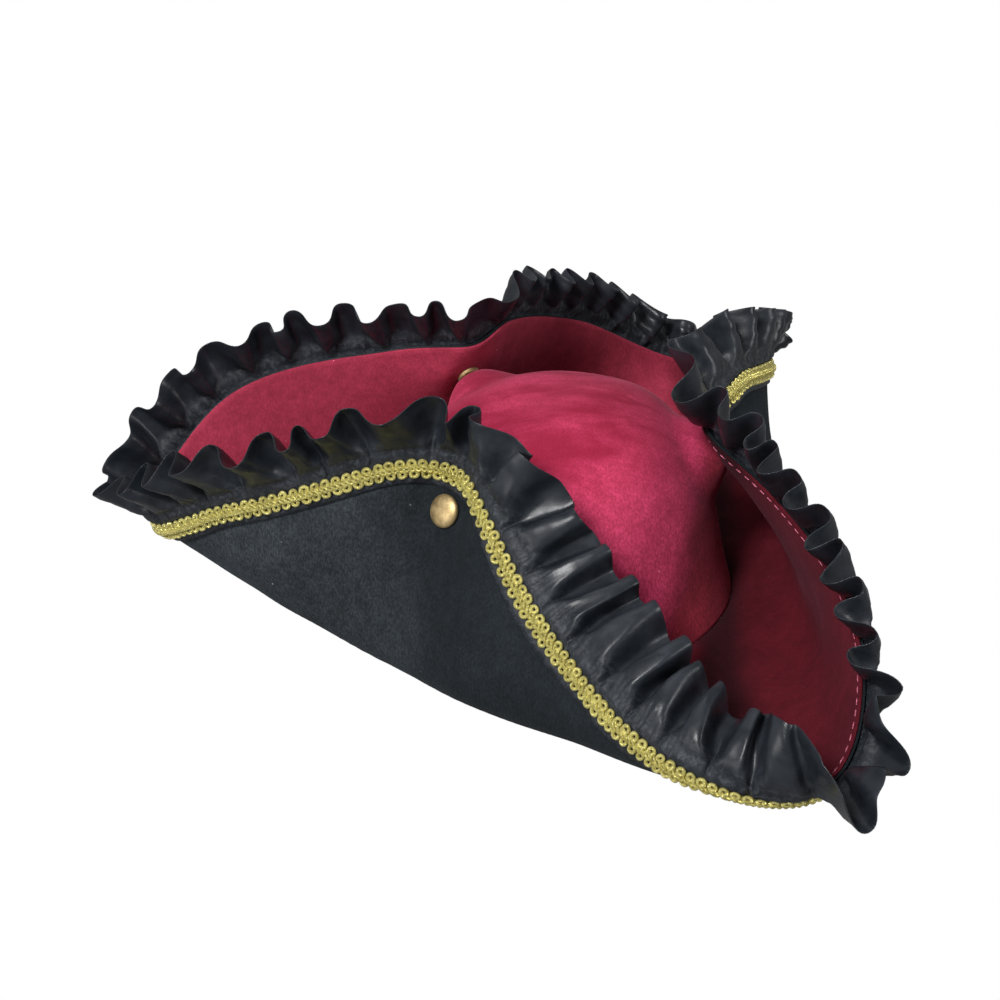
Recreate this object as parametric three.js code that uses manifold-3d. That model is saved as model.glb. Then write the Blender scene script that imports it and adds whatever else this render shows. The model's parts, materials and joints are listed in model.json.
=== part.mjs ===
// A tricorn hat with a velvet crown, a two-layer velvet brim turned up on three
// sides, a gathered satin ruffle, a gold braid and three snap fasteners.
// Millimetres, +Z up, the front corner towards -X, the near side towards -Y.
import * as THREE from 'three';
import Module from 'manifold-3d';

// Driving sizes
const headLength = 190;      // head opening, front to back
const headWidth = 172;       // head opening, side to side
const crownHeight = 116;     // from the table to the top of the crown
const crownWall = 2.5;       // velvet over its stiff base
const brimWidth = 141;       // from the crown to the edge, along the cloth
const brimLayer = 1.3;       // thickness of one brim layer
const restBand = 7;          // flat band of the brim that the hat stands on
const ruffleReach = 38;      // how far the gathers stand out past the brim's edge
const ruffleCloth = 1.2;     // two layers of satin
const ruffleFolds = 60;      // folds all the way round
const headerDepth = 15;      // plain part of the ruffle, sewn to the brim
const braidWidth = 8;
const braidThickness = 1.5;
const braidInset = 7;        // from the brim's edge to the middle of the braid
const snapInset = 26;        // from the brim's edge to the middle of a snap
const snapCapDiameter = 17.5;
const clearance = 0.3;       // left between pieces that touch in the real hat

// Mesh density
const columns = 60;
const bendRows = 5;
const foldSteps = 6;
const snapSides = 12;

const materials = {
  redVelvet: () => new THREE.MeshStandardMaterial({ color: '#a01236', roughness: 0.85 }),
  blackVelvet: () => new THREE.MeshStandardMaterial({ color: '#15181c', roughness: 0.95 }),
  satin: () => new THREE.MeshStandardMaterial({ color: '#14171d', roughness: 0.35 }),
  goldBraid: () => new THREE.MeshStandardMaterial({ color: '#c8b44a', roughness: 0.4, metalness: 0.7 }),
  brass: () => new THREE.MeshStandardMaterial({ color: '#a08250', roughness: 0.4, metalness: 0.9 }),
};

// Brim sections
// One row for each section round the hat. The angle runs from the front corner
// towards the near side, in degrees. The bend is the point that the cloth is
// drawn towards where it turns up, and the edge is where it ends. Out is
// measured from the crown, up from the table, both as shares of brimWidth. Flop
// is how far the ruffle falls to the outside and reach how far it stands out
// past the edge, as shares of ruffleReach.
const sections = [
  { angle: 0, bendOut: 0.80, bendUp: 0.24, edgeOut: 0.90, edgeUp: 0.38, flop: 0.20, reach: 0.85 },
  { angle: 14, bendOut: 0.61, bendUp: 0.12, edgeOut: 0.56, edgeUp: 0.62, flop: 0.60, reach: 0.95 },
  { angle: 30, bendOut: 0.41, bendUp: 0.02, edgeOut: 0.06, edgeUp: 0.82, flop: 0.75, reach: 1.00 },
  { angle: 48, bendOut: 0.34, bendUp: 0.00, edgeOut: -0.12, edgeUp: 0.82, flop: 0.55, reach: 0.95 },
  { angle: 70, bendOut: 0.50, bendUp: 0.05, edgeOut: 0.02, edgeUp: 0.77, flop: 0.05, reach: 1.00 },
  { angle: 92, bendOut: 0.72, bendUp: 0.10, edgeOut: 0.38, edgeUp: 0.47, flop: -0.60, reach: 1.15 },
  { angle: 108, bendOut: 1.02, bendUp: 0.18, edgeOut: 0.97, edgeUp: 0.30, flop: -0.95, reach: 1.15 },
  { angle: 120, bendOut: 1.03, bendUp: 0.11, edgeOut: 1.17, edgeUp: 0.28, flop: 0.20, reach: 1.05 },
  { angle: 132, bendOut: 0.78, bendUp: 0.04, edgeOut: 0.90, edgeUp: 0.49, flop: -0.15, reach: 0.70 },
  { angle: 150, bendOut: 0.60, bendUp: 0.00, edgeOut: 0.25, edgeUp: 0.66, flop: -0.22, reach: 0.60 },
  { angle: 165, bendOut: 0.44, bendUp: 0.00, edgeOut: -0.10, edgeUp: 0.74, flop: 0.00, reach: 0.70 },
  { angle: 180, bendOut: 0.35, bendUp: 0.00, edgeOut: -0.16, edgeUp: 0.80, flop: 0.10, reach: 0.80 },
  { angle: 195, bendOut: 0.36, bendUp: 0.00, edgeOut: -0.07, edgeUp: 0.81, flop: 0.00, reach: 0.84 },
  { angle: 210, bendOut: 0.42, bendUp: 0.00, edgeOut: 0.12, edgeUp: 0.76, flop: 0.00, reach: 0.82 },
  { angle: 228, bendOut: 0.50, bendUp: 0.04, edgeOut: 0.55, edgeUp: 0.54, flop: 0.10, reach: 0.68 },
  { angle: 240, bendOut: 0.58, bendUp: 0.03, edgeOut: 0.80, edgeUp: 0.29, flop: 0.55, reach: 0.66 },
  { angle: 252, bendOut: 0.72, bendUp: 0.08, edgeOut: 0.77, edgeUp: 0.29, flop: 0.40, reach: 0.62 },
  { angle: 268, bendOut: 0.64, bendUp: 0.08, edgeOut: 0.47, edgeUp: 0.60, flop: 0.00, reach: 0.72 },
  { angle: 290, bendOut: 0.36, bendUp: 0.07, edgeOut: -0.01, edgeUp: 0.87, flop: 0.00, reach: 0.72 },
  { angle: 312, bendOut: 0.32, bendUp: 0.05, edgeOut: -0.12, edgeUp: 0.86, flop: -0.10, reach: 0.84 },
  { angle: 330, bendOut: 0.40, bendUp: 0.06, edgeOut: 0.12, edgeUp: 0.84, flop: -0.20, reach: 0.80 },
  { angle: 346, bendOut: 0.60, bendUp: 0.13, edgeOut: 0.65, edgeUp: 0.70, flop: -0.10, reach: 0.82 },
];
const bendWeight = 1.6;      // above 1 the cloth turns up more sharply

// Crown profile
// Height as a share of crownHeight, radius as a share of the head oval.
const crownProfile = [
  { up: 0.00, out: 1.00 },
  { up: 0.20, out: 0.95 },
  { up: 0.42, out: 0.91 },
  { up: 0.60, out: 0.865 },
  { up: 0.74, out: 0.79 },
  { up: 0.86, out: 0.66 },
  { up: 0.95, out: 0.44 },
];

// Ruffle folds
// Depth is how far a fold swings to each side, lean how far it tips along the
// edge, and stand how far it reaches out. The rows repeat round the hat.
const folds = [
  { depth: 1.00, lean: 0.10, stand: 1.00 },
  { depth: 0.80, lean: -0.08, stand: 0.94 },
  { depth: 1.15, lean: 0.14, stand: 1.05 },
  { depth: 0.90, lean: 0.02, stand: 0.97 },
  { depth: 1.10, lean: -0.12, stand: 1.03 },
];
const foldDepth = 10;        // half the width of a fold at the free edge
const foldLoop = 0.30;       // how much a fold overhangs its foot, as a share of its pitch

// Snaps sit where the three sides are turned up.
const snaps = [
  { name: 'near', angle: 50 },
  { name: 'back', angle: 181 },
  { name: 'far', angle: 309 },
];
const brimFlat = 24;         // radius of the brim pressed flat round a snap
const crownFlat = 18;        // the same on the crown
const pressFade = 14;        // further on the cloth is free again
const socketThickness = 2.2;
const studFlange = 1.0;

const radians = THREE.MathUtils.degToRad;
const vector = (x, y, z) => new THREE.Vector3(x, y, z);
const polar = (angle, radius, z) => vector(-radius * Math.cos(angle), -radius * Math.sin(angle), z);
const mix = (a, b, share) => a.clone().lerp(b, share);
const wrap = (index, count) => (index + count) % count;

// Radius of the head oval, grown by a margin, in a direction.
function ovalRadius(angle, margin) {
  const a = headLength / 2 + margin;
  const b = headWidth / 2 + margin;
  return 1 / Math.hypot(Math.cos(angle) / a, Math.sin(angle) / b);
}

// A smooth closed curve through one column of a table that goes once round.
function roundTheHat(rows, column) {
  const count = rows.length;
  const at = (i) => rows[wrap(i, count)].angle + 360 * Math.floor(i / count);
  const value = (i) => rows[wrap(i, count)][column];
  const slope = (i) => (value(i + 1) - value(i - 1)) / (at(i + 1) - at(i - 1));
  return (angle) => {
    const degrees = wrap(THREE.MathUtils.radToDeg(angle) % 360, 360);
    let i = rows.findLastIndex((row) => row.angle <= degrees);
    const step = at(i + 1) - at(i);
    const t = (degrees - at(i)) / step;
    const h = [2 * t ** 3 - 3 * t ** 2 + 1, t ** 3 - 2 * t ** 2 + t, 3 * t ** 2 - 2 * t ** 3, t ** 3 - t ** 2];
    return h[0] * value(i) + h[1] * step * slope(i) + h[2] * value(i + 1) + h[3] * step * slope(i + 1);
  };
}
const sectionCurves = Object.fromEntries(
  ['bendOut', 'bendUp', 'edgeOut', 'edgeUp', 'flop', 'reach'].map((column) => [column, roundTheHat(sections, column)]),
);

// Middle surface of the brim, halfway between its two layers.
const restHeight = brimLayer + clearance / 2;
const brimFoot = crownWall + clearance;

function brimSection(angle) {
  const foot = ovalRadius(angle, brimFoot);
  const share = (column) => sectionCurves[column](angle) * brimWidth;
  const start = [foot + restBand, restHeight];
  const bend = [foot + share('bendOut'), restHeight + share('bendUp')];
  const edge = [foot + share('edgeOut'), restHeight + share('edgeUp')];
  const points = [];
  for (let k = 0; k <= 48; k += 1) {
    const t = k / 48;
    const weights = [(1 - t) ** 2, 2 * bendWeight * t * (1 - t), t ** 2];
    const total = weights[0] + weights[1] + weights[2];
    const blend = (n) => (weights[0] * start[n] + weights[1] * bend[n] + weights[2] * edge[n]) / total;
    points.push(polar(angle, blend(0), blend(1)));
  }
  return { foot: polar(angle, foot, restHeight), points };
}

// A point at a distance along a line of points.
function along(points, distance) {
  let left = distance;
  for (let k = 1; k < points.length; k += 1) {
    const step = points[k].distanceTo(points[k - 1]);
    if (left <= step || k === points.length - 1) return mix(points[k - 1], points[k], left / step);
    left -= step;
  }
  return points.at(-1).clone();
}

function lineLength(points) {
  return points.slice(1).reduce((sum, point, k) => sum + point.distanceTo(points[k]), 0);
}

// Column angles, spaced by the brim's edge and the crown's foot together.
function columnAngles() {
  const fine = 1440;
  const angleOf = (k) => (k / fine) * 2 * Math.PI;
  const edgeOf = (k) => brimSection(angleOf(k)).points.at(-1);
  const travelled = [0];
  for (let k = 1; k <= fine; k += 1) {
    const footStep = (headLength / 2) * (angleOf(k) - angleOf(k - 1));
    travelled.push(travelled[k - 1] + edgeOf(k).distanceTo(edgeOf(k - 1)) + footStep);
  }
  return Array.from({ length: columns }, (_, column) => {
    const wanted = (travelled[fine] * column) / columns;
    const k = Math.max(1, travelled.findIndex((value) => value >= wanted));
    const share = (wanted - travelled[k - 1]) / (travelled[k] - travelled[k - 1]);
    return angleOf(k - 1 + share);
  });
}

// Direction along a row of points that closes round the hat.
const alongRow = (row, i) => row[wrap(i + 1, row.length)].clone().sub(row[wrap(i - 1, row.length)]).normalize();

// Rows of the brim, from the crown outwards. The last span is the ruffle's
// header, as deep square to the edge where the columns meet it at a slant.
function brimRows(angles) {
  const lines = angles.map(brimSection);
  const edge = lines.map(({ points }) => points.at(-1).clone());
  const rows = Array.from({ length: bendRows + 2 }, () => []);
  lines.forEach(({ foot, points }, i) => {
    const length = lineLength(points);
    const column = edge[i].clone().sub(along(points, length - headerDepth)).normalize();
    const slant = column.cross(alongRow(edge, i)).length();
    const free = length - headerDepth / Math.max(slant, 0.5);
    rows[0].push(foot);
    for (let j = 0; j <= bendRows; j += 1) rows[j + 1].push(along(points, (free * j) / bendRows));
  });
  return [...rows, edge];
}

// Where a snap goes through the brim: its middle and the way its cap faces.
function snapSeat(angle) {
  const place = (turn, inset) => {
    const { points } = brimSection(radians(angle) + turn);
    return along(points, lineLength(points) - inset);
  };
  const centre = place(0, snapInset);
  const side = place(0.12, snapInset).sub(place(-0.12, snapInset));
  const out = place(0, snapInset - 8).sub(place(0, snapInset + 8));
  return { centre, normal: side.cross(out).normalize() };
}

// Presses points towards a plane in front of or behind each snap.
function pressAtSnaps(rows, seats, depth, flat) {
  for (const point of rows.flat()) {
    for (const { centre, normal } of seats) {
      const middle = centre.clone().addScaledVector(normal, depth);
      const offset = point.clone().sub(middle);
      const height = offset.dot(normal);
      const sideways = Math.sqrt(Math.max(0, offset.lengthSq() - height ** 2));
      const share = 1 - THREE.MathUtils.smoothstep(sideways, flat, flat + pressFade);
      if (Math.abs(height) < flat + pressFade) point.addScaledVector(normal, -height * share);
    }
  }
}

// Normals of a grid of rows that close round the hat.
function gridNormals(rows) {
  return rows.map((row, j) => row.map((point, i) => {
    const round = alongRow(row, i);
    const above = rows[Math.min(j + 1, rows.length - 1)][i];
    const below = rows[Math.max(j - 1, 0)][i];
    return round.cross(above.clone().sub(below)).normalize();
  }));
}

const offsetRows = (rows, normals, depth) => rows.map((row, j) => row.map(
  (point, i) => point.clone().addScaledVector(normals[j][i], depth),
));

// A closed mesh from rows that each run round, joined in order. The first half
// of the rows goes out, where a row may have a whole number of times the points
// of the row before it, and the second half comes back in with the same facets.
// The ends are either joined to each other or closed by a single point each.
function meshOfRows(rows, poles) {
  const positions = [];
  const index = [];
  const starts = rows.map((row) => {
    const start = positions.length / 3;
    row.forEach((point) => positions.push(point.x, point.y, point.z));
    return start;
  });
  const join = (a, b) => (a < rows.length / 2 ? joinFan(a, b, false) : joinFan(b, a, true));
  const joinFan = (a, b, flipped) => {
    const count = rows[a].length;
    const steps = rows[b].length / count;
    const triangle = (p, q, r) => (flipped ? index.push(p, r, q) : index.push(p, q, r));
    for (let i = 0; i < count; i += 1) {
      const left = starts[a] + i;
      const right = starts[a] + wrap(i + 1, count);
      const far = (m) => starts[b] + wrap(i * steps + m, rows[b].length);
      const turn = Math.ceil(steps / 2);
      for (let m = 0; m < turn; m += 1) triangle(left, far(m + 1), far(m));
      triangle(left, right, far(turn));
      for (let m = turn; m < steps; m += 1) triangle(right, far(m + 1), far(m));
    }
  };
  for (let j = 1; j < rows.length; j += 1) join(j - 1, j);
  if (poles) {
    const [first, last] = poles.map((point) => {
      positions.push(point.x, point.y, point.z);
      return positions.length / 3 - 1;
    });
    rows[0].forEach((_, i) => index.push(starts[0] + wrap(i + 1, rows[0].length), starts[0] + i, first));
    const end = rows.length - 1;
    rows[end].forEach((_, i) => index.push(starts[end] + i, starts[end] + wrap(i + 1, rows[end].length), last));
  } else {
    join(rows.length - 1, 0);
  }
  const geometry = new THREE.BufferGeometry();
  geometry.setAttribute('position', new THREE.Float32BufferAttribute(positions, 3));
  geometry.setIndex(index);
  return geometry;
}

// A layer of cloth between two depths off a middle surface.
function clothLayer(rows, normals, outer, inner) {
  const outside = offsetRows(rows, normals, outer);
  const inside = offsetRows(rows, normals, inner);
  return meshOfRows([...outside, ...inside.reverse()]);
}

// A turned solid from radius and height pairs, closed on its axis at both ends.
function turned(profile) {
  const ring = ([radius, z]) => Array.from({ length: snapSides }, (_, i) => {
    const angle = (2 * Math.PI * i) / snapSides;
    return vector(radius * Math.cos(angle), radius * Math.sin(angle), z);
  });
  const rings = profile.slice(1, -1).map(ring);
  return meshOfRows(rings, [vector(0, 0, profile[0][1]), vector(0, 0, profile.at(-1)[1])]);
}

// Cutting with manifold-3d
const wasm = await Module();
wasm.setup();

function toManifold(geometry) {
  const mesh = new wasm.Mesh({
    numProp: 3,
    vertProperties: new Float32Array(geometry.attributes.position.array),
    triVerts: new Uint32Array(geometry.index.array),
  });
  mesh.merge();
  return new wasm.Manifold(mesh);
}

function fromManifold(solid) {
  const mesh = solid.getMesh();
  const geometry = new THREE.BufferGeometry();
  geometry.setAttribute('position', new THREE.BufferAttribute(mesh.vertProperties, 3));
  geometry.setIndex(new THREE.BufferAttribute(mesh.triVerts, 1));
  return geometry;
}

const facing = (seat) => new THREE.Quaternion().setFromUnitVectors(vector(0, 0, 1), seat.normal);

// Punches a round hole through a sheet at every snap.
function punch(geometry, seats, diameter, depth) {
  const radius = diameter / 2;
  let solid = toManifold(geometry);
  for (const seat of seats) {
    const drill = turned([[0, -14], [radius, -14], [radius, 14], [0, 14]]);
    drill.translate(0, 0, depth).applyQuaternion(facing(seat)).translate(...seat.centre.toArray());
    solid = solid.subtract(toManifold(drill));
  }
  return fromManifold(solid);
}

// Brim
const seats = snaps.map((snap) => ({ name: snap.name, ...snapSeat(snap.angle) }));
const angles = columnAngles();
const brim = brimRows(angles);
pressAtSnaps(brim.slice(2), seats, 0, brimFlat);
const brimNormals = gridNormals(brim);
const down = vector(0, 0, -1);
brimNormals[0].forEach((normal) => normal.copy(down));
brimNormals[1].forEach((normal) => normal.copy(down));

const layerNear = clearance / 2;
const layerFar = layerNear + brimLayer;
const postDiameter = 4.4;
const boreDiameter = postDiameter + 2 * clearance;

const undersideSheet = clothLayer(brim, brimNormals, layerFar, layerNear);
const facingSheet = clothLayer(brim, brimNormals, -layerNear, -layerFar);

// Ruffle
// The header lies flat on the brim's outside. Past the edge the strip swings
// from side to side, more and more towards its free edge.
const headerNear = layerFar + clearance;
const headerMiddle = headerNear + ruffleCloth / 2;
const headerFar = headerNear + ruffleCloth;
const lastRow = brim.length - 1;
const foldRows = [
  { stand: 0.14, swing: 0.22 },
  { stand: 0.55, swing: 0.72 },
  { stand: 1.00, swing: 1.00 },
];

// Repeating values of the fold table, blended from fold to fold.
function foldValue(turns, column) {
  const fold = Math.floor(turns);
  const here = folds[wrap(fold, folds.length)][column];
  const next = folds[wrap(fold + 1, folds.length)][column];
  return here + (next - here) * (turns - fold);
}

function ruffleRow({ stand, swing }) {
  const count = columns * foldSteps;
  return Array.from({ length: count }, (_, k) => {
    const i = Math.floor(k / foldSteps);
    const next = wrap(i + 1, columns);
    const share = (k % foldSteps) / foldSteps;
    const edge = mix(brim[lastRow][i], brim[lastRow][next], share);
    const normal = mix(brimNormals[lastRow][i], brimNormals[lastRow][next], share).normalize();
    const side = mix(alongRow(brim[lastRow], i), alongRow(brim[lastRow], next), share).normalize();
    const out = normal.clone().cross(side).normalize();
    const pitch = brim[lastRow][i].distanceTo(brim[lastRow][next]) * (columns / ruffleFolds);
    const turns = (k / count) * ruffleFolds;
    const phase = turns * 2 * Math.PI;
    const angle = Math.atan2(-edge.y, -edge.x);
    const reach = ruffleReach * stand * foldValue(turns, 'stand') * sectionCurves.reach(angle);
    const fall = Math.atan(sectionCurves.flop(angle)) * stand ** 0.5;
    const sway = foldDepth * swing * foldValue(turns, 'depth') * Math.cos(phase);
    const loop = foldLoop * swing * Math.sin(2 * phase) + foldValue(turns, 'lean') * stand;
    return edge
      .addScaledVector(out, reach * Math.cos(fall))
      .addScaledVector(normal, headerMiddle + reach * Math.sin(fall) + sway)
      .addScaledVector(side, loop * pitch * 0.5);
  });
}

function ruffle() {
  const gathers = foldRows.map(ruffleRow);
  const gatherNormals = gridNormals(gathers);
  const header = [brim[lastRow - 1], brim[lastRow]];
  const headerNormals = [brimNormals[lastRow - 1], brimNormals[lastRow]];
  const half = ruffleCloth / 2;
  const outside = [...offsetRows(header, headerNormals, headerFar), ...offsetRows(gathers, gatherNormals, half)];
  const inside = [...offsetRows(header, headerNormals, headerNear), ...offsetRows(gathers, gatherNormals, -half)];
  return meshOfRows([...outside, ...inside.reverse()]);
}

// Braid
// It follows the header's own facets, so each column gives two points to a
// row: one on the column and one on the facet's diagonal.
function braidRow(inset, depth) {
  const share = (headerDepth - inset) / headerDepth;
  const lifted = (j, i) => brim[j][i].clone().addScaledVector(brimNormals[j][i], depth);
  return Array.from({ length: columns }, (_, i) => {
    const low = lifted(lastRow - 1, i);
    return [mix(low, lifted(lastRow, i), share), mix(low, lifted(lastRow, wrap(i + 1, columns)), share)];
  }).flat();
}

function braid() {
  const near = headerFar + clearance;
  const far = near + braidThickness;
  const low = braidInset + braidWidth / 2;
  const high = braidInset - braidWidth / 2;
  return meshOfRows([braidRow(low, far), braidRow(high, far), braidRow(high, near), braidRow(low, near)]);
}

// Crown
// A dome over the head oval, drawn out to the three snaps.
const crownDepth = -(layerFar + 2 * clearance + socketThickness + studFlange);

function crown() {
  const bottom = clearance * 2;
  const rows = crownProfile.map(({ up, out }) => angles.map(
    (angle) => polar(angle, ovalRadius(angle, crownWall) * out, bottom + up * (crownHeight - bottom)),
  ));
  pressAtSnaps(rows.slice(1), seats, crownDepth - 2 * clearance, crownFlat);
  const normals = gridNormals(rows);
  normals[0].forEach((normal) => normal.setZ(0).normalize());
  const inside = offsetRows(rows, normals, -crownWall);
  const top = vector(0, 0, crownHeight);
  const ceiling = vector(0, 0, crownHeight - crownWall);
  return meshOfRows([...inside.reverse(), ...rows], [ceiling, top]);
}

// Snaps
// The cap is riveted to the brim, with its socket on the red side. The stud is
// riveted to the crown.
const capRadius = snapCapDiameter / 2;
const postRadius = postDiameter / 2;
const studRadius = 1.9;

function snapCap() {
  const base = layerFar + 2 * clearance;
  const socket = -(layerFar + clearance);
  const end = socket - socketThickness;
  const recess = end + socketThickness * 0.7;
  return turned([
    [0, recess], [studRadius + clearance, recess], [studRadius + clearance, end], [6.5, end],
    [6.5, socket], [postRadius, socket], [postRadius, base], [capRadius - 1, base],
    [capRadius, base + 0.7], [capRadius - 0.9, base + 2.2], [capRadius * 0.6, base + 3.5], [0, base + 4],
  ]);
}

function snapStud() {
  const outer = crownDepth;
  const face = outer + studFlange;
  const inner = outer - 3 * clearance - crownWall - clearance;
  const tip = -(layerFar + clearance) - socketThickness * 0.3 - clearance;
  return turned([
    [0, inner - 1], [4.2, inner - 1], [4.2, inner], [studRadius, inner], [studRadius, outer],
    [5, outer], [5, face], [studRadius, face], [studRadius, tip], [0, tip],
  ]);
}

function node(name, geometry, material) {
  const mesh = new THREE.Mesh(geometry, material());
  mesh.name = name;
  return mesh;
}

function seated(name, geometry, seat) {
  const mesh = node(name, geometry, materials.brass);
  mesh.position.copy(seat.centre);
  mesh.quaternion.copy(facing(seat));
  return mesh;
}

// Assembly
const hat = new THREE.Group();
hat.name = 'tricorn_hat';
hat.add(
  node('crown', punch(crown(), seats, studRadius * 2 + 2 * clearance, crownDepth), materials.redVelvet),
  node('brim_facing', punch(facingSheet, seats, boreDiameter, 0), materials.redVelvet),
  node('brim_underside', punch(undersideSheet, seats, boreDiameter, 0), materials.blackVelvet),
  node('ruffle', ruffle(), materials.satin),
  node('gold_braid', braid(), materials.goldBraid),
);
for (const seat of seats) {
  hat.add(seated(`snap_cap_${seat.name}`, snapCap(), seat));
  hat.add(seated(`snap_stud_${seat.name}`, snapStud(), seat));
}

// The middle of the hat's footprint, on the table, is the origin.
const box = new THREE.Box3().setFromObject(hat, true);
const middle = box.getCenter(vector(0, 0, 0));
hat.position.set(-middle.x, -middle.y, 0);

export default hat;
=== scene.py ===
# %% [markdown]
# # A velvet tricorn hat
# This hat is cloth over a stiff base: a red velvet crown, a brim of two velvet
# layers, a gathered satin ruffle, a looped gold trim and three snap fasteners.
# The CAD model is loaded first as a fixed frame, and everything that is made
# below is placed from the same measures, in metres, so each piece lands where
# its CAD solid is.

# %% Load the frame
import json
import math
import bpy
import numpy as np
from mathutils import Matrix, Vector


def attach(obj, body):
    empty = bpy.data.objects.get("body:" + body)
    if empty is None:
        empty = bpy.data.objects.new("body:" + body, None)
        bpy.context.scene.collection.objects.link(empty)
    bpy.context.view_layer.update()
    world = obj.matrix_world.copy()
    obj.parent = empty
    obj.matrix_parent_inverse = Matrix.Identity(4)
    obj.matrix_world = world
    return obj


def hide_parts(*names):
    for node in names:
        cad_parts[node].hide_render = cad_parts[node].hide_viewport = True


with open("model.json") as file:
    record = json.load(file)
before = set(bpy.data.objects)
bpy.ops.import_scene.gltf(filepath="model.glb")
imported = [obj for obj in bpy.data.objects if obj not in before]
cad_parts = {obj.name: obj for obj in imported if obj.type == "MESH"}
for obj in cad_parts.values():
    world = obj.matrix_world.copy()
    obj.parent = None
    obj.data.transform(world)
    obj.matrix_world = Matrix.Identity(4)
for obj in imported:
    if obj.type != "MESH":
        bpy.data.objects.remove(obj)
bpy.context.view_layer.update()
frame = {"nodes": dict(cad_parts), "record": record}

# %% [markdown]
# ## The hat's own axis
# The crown stands on an upright axis, and the brim's sections fan out from it.
# The frame's origin is the middle of the whole footprint, which isn't the
# crown's middle. The middle of the crown's box would be close, but the snaps
# pull that box a little out of true. The rest mount is read instead: it sits on
# the brim's flat band, straight out from the axis on the near side.

# %% Find the axis
head_length = 0.190
head_width = 0.172
crown_wall = 0.0025
clearance = 0.0003
rest_band = 0.007
mount = Vector(frame["record"]["mounts"][0]["pos_m"])
band_middle = head_width / 2 + crown_wall + clearance + rest_band / 2
axis = np.array([mount.x, mount.y + band_middle, 0.0])
print("axis of the crown", axis.round(4))

# %% [markdown]
# ## The camera
# The photograph was taken from a little above, with a slight turn and tilt. A
# long lens keeps the hat's far side nearly as large as its near side. The
# camera looks at the foot of the crown's axis, and its shift puts the hat in
# the frame.

# %% Place the camera
def add_object(name, data):
    made = bpy.data.objects.new(name, data)
    bpy.context.scene.collection.objects.link(made)
    return made


camera_height = math.radians(34.15)
camera_turn = math.radians(2.35)
camera_tilt = math.radians(1.76)
camera_distance = 1.277
forward = Vector((
    -math.sin(camera_turn) * math.cos(camera_height),
    math.cos(camera_turn) * math.cos(camera_height),
    -math.sin(camera_height),
))
level = Vector((math.cos(camera_turn), math.sin(camera_turn), 0))
upward = level.cross(forward)
side = level * math.cos(camera_tilt) - upward * math.sin(camera_tilt)
upright = level * math.sin(camera_tilt) + upward * math.cos(camera_tilt)
lens = bpy.data.cameras.new("photo_camera")
lens.lens = 82.8
lens.sensor_width = 36
lens.shift_x = -0.0667
lens.shift_y = 0.0889
camera = add_object("photo_camera", lens)
turn = Matrix((side, upright, -forward)).transposed().to_4x4()
camera.matrix_world = Matrix.Translation(Vector(axis) - forward * camera_distance) @ turn
bpy.context.scene.camera = camera
print("camera at", [round(v, 3) for v in camera.matrix_world.translation])

# %% [markdown]
# ## Floor and light
# The photograph is a plain studio shot on white. The floor and the sky are
# white where the camera sees them and greyer where they light the hat, since a
# white room would wash out the black cloth. The key lamp, above the camera's
# left shoulder, gives the crown its bright side and its dark side, which the
# crown's velvet deepens with painted shade. Three weaker lamps fill in, one
# above and one low on each side. All are broad, because small lamps would
# draw hard lines on the satin.

# %% Make the floor
def plain_finish(name, colour, roughness):
    finish = bpy.data.materials.new(name)
    finish.use_nodes = True
    shader = finish.node_tree.nodes["Principled BSDF"]
    shader.inputs["Base Color"].default_value = (*colour, 1)
    shader.inputs["Roughness"].default_value = roughness
    return finish


def white_to_camera(tree, lit, white, end):
    """Shows a white shader to the camera, and lights the hat by another one."""
    paper = tree.nodes.new(white)
    paper.inputs["Color"].default_value = (1, 1, 1, 1)
    seen = tree.nodes.new("ShaderNodeLightPath").outputs["Is Camera Ray"]
    both = tree.nodes.new("ShaderNodeMixShader")
    tree.links.new(seen, both.inputs["Fac"])
    tree.links.new(tree.nodes[lit].outputs[0], both.inputs[1])
    tree.links.new(paper.outputs[0], both.inputs[2])
    tree.links.new(both.outputs["Shader"], tree.nodes[end].inputs["Surface"])


bpy.ops.object.select_all(action="DESELECT")
bpy.ops.mesh.primitive_plane_add(size=8, location=(0, 0, 0))
floor = bpy.context.active_object
floor.name = "studio_floor"
studio_white = plain_finish("studio_white", (0.22, 0.22, 0.22), 0.9)
white_to_camera(studio_white.node_tree, "Principled BSDF", "ShaderNodeEmission", "Material Output")
floor.data.materials.append(studio_white)
print("floor is", floor.dimensions.x, "m wide")

# %% Light the studio
def soft_lamp(name, place, aim, size, power):
    light = bpy.data.lights.new(name, "AREA")
    light.shape = "DISK"
    light.size = size
    light.energy = power
    way = (Vector(aim) - Vector(place)).to_track_quat("-Z", "Y")
    add_object(name, light).matrix_world = Matrix.Translation(place) @ way.to_matrix().to_4x4()


sky = bpy.data.worlds.new("studio_sky")
sky.use_nodes = True
daylight = sky.node_tree.nodes["Background"]
daylight.inputs["Color"].default_value = (1, 1, 1, 1)
daylight.inputs["Strength"].default_value = 0.44
white_to_camera(sky.node_tree, "Background", "ShaderNodeBackground", "World Output")
bpy.context.scene.world = sky
bpy.context.scene.view_settings.view_transform = "Standard"
soft_lamp("key", (-0.62, -1.40, 1.85), (0, 0, 0.05), 0.6, 58)
soft_lamp("top", (-0.3, 0.5, 2.2), (0, 0, 0), 0.9, 4)
soft_lamp("low", (-1.9, -1.5, 0.55), (-0.05, 0, 0.05), 0.9, 17)
soft_lamp("side", (1.9, -0.9, 0.75), (0.05, 0, 0.08), 0.8, 20)

# %% [markdown]
# ## The brim's shape
# The brim is a flat ring of stiffened velvet, snapped up to the crown at three
# places, so three corners are left standing out. It could be a simulated
# cloth, but the fold of a stiff brim is steady enough to draw: each section
# from the crown outwards is one bend. The table gives those bends at some
# angles round the hat, and a smooth closed curve fills in the rest. They are
# the same shares that the CAD model uses. The ruffle has a table of its own,
# since at about half of the angles it leans or reaches otherwise than its solid.

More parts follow.
